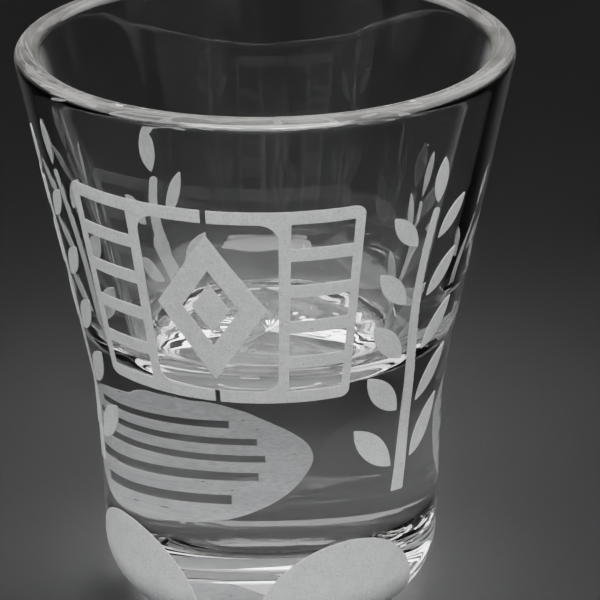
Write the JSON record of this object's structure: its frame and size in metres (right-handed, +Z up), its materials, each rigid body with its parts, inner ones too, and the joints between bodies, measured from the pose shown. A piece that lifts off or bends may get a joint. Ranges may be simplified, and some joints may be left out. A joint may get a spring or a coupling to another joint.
{
  "type": "shot glass",
  "caption": "Flared heavy-bottomed shot glass with a rounded lip and foot and a frosted enamel print of a framed lozenge and leaf sprigs.",
  "frame": {"origin": "centre of the plane that the foot stands on", "axes": "+Z up along the axis of the glass; the print's front panel faces 15 degrees off -Y towards -X"},
  "size_m": [0.0502, 0.0502, 0.0613],
  "materials": {
    "clear_glass": "clear pressed soda-lime glass, fire-polished",
    "frost_enamel": "fired-on frosted enamel, matt and finely mottled"
  },
  "bodies": {
    "root": {"glass_body": "clear_glass", "back_left_sprig_leaves": "frost_enamel", "back_left_sprig_stem": "frost_enamel", "back_medallion": "frost_enamel", "back_right_sprig_leaves": "frost_enamel", "back_right_sprig_stem": "frost_enamel", "left_foot_petal": "frost_enamel", "left_sprig_leaves": "frost_enamel", "left_sprig_stem": "frost_enamel", "panel_gem": "frost_enamel", "panel_left": "frost_enamel", "panel_lozenge": "frost_enamel", "panel_right": "frost_enamel", "right_foot_petal": "frost_enamel", "right_sprig_leaves": "frost_enamel", "right_sprig_stem": "frost_enamel"}
  },
  "joints": []
}
